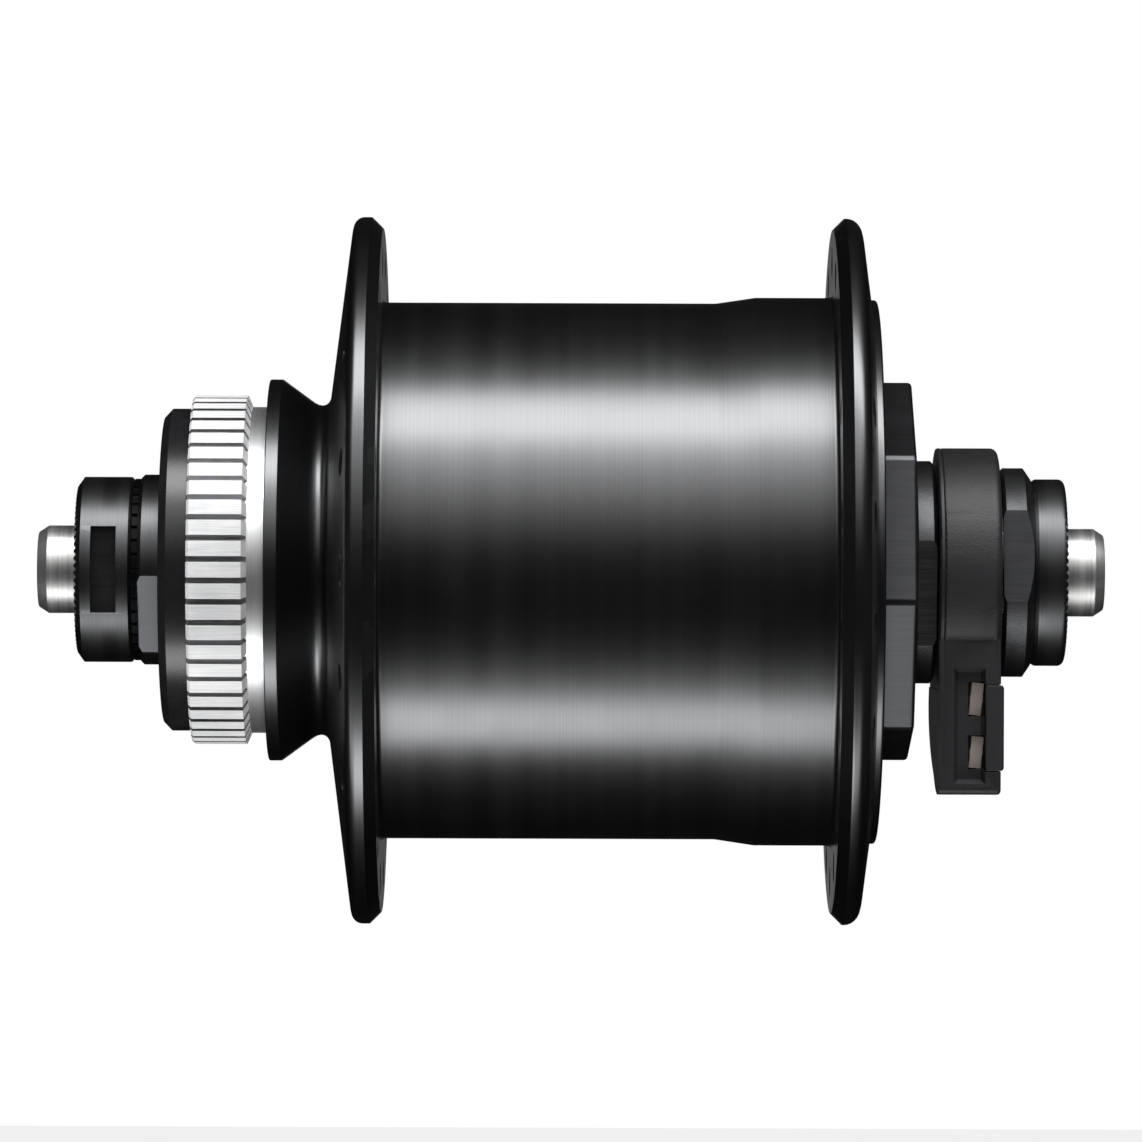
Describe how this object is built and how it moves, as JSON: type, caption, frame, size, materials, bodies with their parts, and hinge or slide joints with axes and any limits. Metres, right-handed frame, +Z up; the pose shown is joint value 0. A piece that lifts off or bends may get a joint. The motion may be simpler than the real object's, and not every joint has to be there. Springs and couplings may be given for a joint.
{
  "type": "hub dynamo",
  "caption": "Front bicycle hub with a claw pole generator inside, spoke flanges, a splined disc rotor boss and a two contact lamp connector on the axle.",
  "frame": {"origin": "on the axle's centre line, midway between the two locknut faces", "axes": "+Y along the axle to the disc brake side, +Z up, -X to the front, where the lamp connector's contacts face"},
  "size_m": [0.0716, 0.108, 0.0716],
  "materials": {
    "shell_anodised": "satin black anodised, the rotor spline left bright",
    "cap_plastic": "satin black",
    "axle_steel": "turned",
    "black_steel": "satin black chromated",
    "connector_plastic": "fine grained black",
    "contact_metal": "dull tin over brass",
    "plated_steel": "zinc plated",
    "core_steel": "electrical steel",
    "bobbin_plastic": "natural nylon",
    "coil_copper": "enamelled copper wire",
    "lead_sheath": "grey sheath",
    "bearing_steel": "ground",
    "seal_rubber": "black",
    "magnet_ferrite": "sintered"
  },
  "bodies": {
    "axle_unit": {"axle": "axle_steel", "disc_side_locknut": "black_steel", "disc_side_lock_washer": "black_steel", "disc_side_cone": "black_steel", "drive_side_cone": "black_steel", "connector_side_cover": "connector_plastic", "connector_housing": "connector_plastic", "terminal_insert": "connector_plastic", "contact_live": "contact_metal", "contact_earth": "contact_metal", "connector_washer": "plated_steel", "connector_nut": "black_steel", "drive_side_locknut": "black_steel", "stator_core": "core_steel", "disc_side_yokes": "core_steel", "drive_side_yokes": "core_steel", "bobbin": "bobbin_plastic", "coil": "coil_copper", "disc_side_stator_plate": "plated_steel", "drive_side_stator_plate": "plated_steel", "stator_nut": "plated_steel", "lead_wire": "lead_sheath"},
    "shell": {"hub_shell": "shell_anodised", "disc_side_cap": "cap_plastic", "disc_side_cup": "bearing_steel", "disc_side_seal": "seal_rubber", "drive_side_cup": "bearing_steel", "drive_side_seal": "seal_rubber", "end_cover": "shell_anodised", "cover_seal_ring": "seal_rubber", "back_yoke_ring": "core_steel", "magnets": "magnet_ferrite"},
    "disc_side_bearing": {"disc_side_balls": "bearing_steel", "disc_side_ball_cage": "plated_steel"},
    "drive_side_bearing": {"drive_side_balls": "bearing_steel", "drive_side_ball_cage": "plated_steel"}
  },
  "joints": [
    {"name": "shell_spin", "type": "hinge", "parent": "axle_unit", "child": "shell", "pos_m": [0, 0, 0], "axis": [0, 1, 0], "continuous": true},
    {"name": "disc_side_bearing_spin", "type": "hinge", "parent": "axle_unit", "child": "disc_side_bearing", "pos_m": [0, 0.0315, 0], "axis": [0, 1, 0], "continuous": true},
    {"name": "drive_side_bearing_spin", "type": "hinge", "parent": "axle_unit", "child": "drive_side_bearing", "pos_m": [0, -0.0285, 0], "axis": [0, 1, 0], "continuous": true}
  ],
  "couplings": [
    {"joint": "disc_side_bearing_spin", "follows": "shell_spin", "ratio": 0.5978},
    {"joint": "drive_side_bearing_spin", "follows": "shell_spin", "ratio": 0.5978}
  ]
}
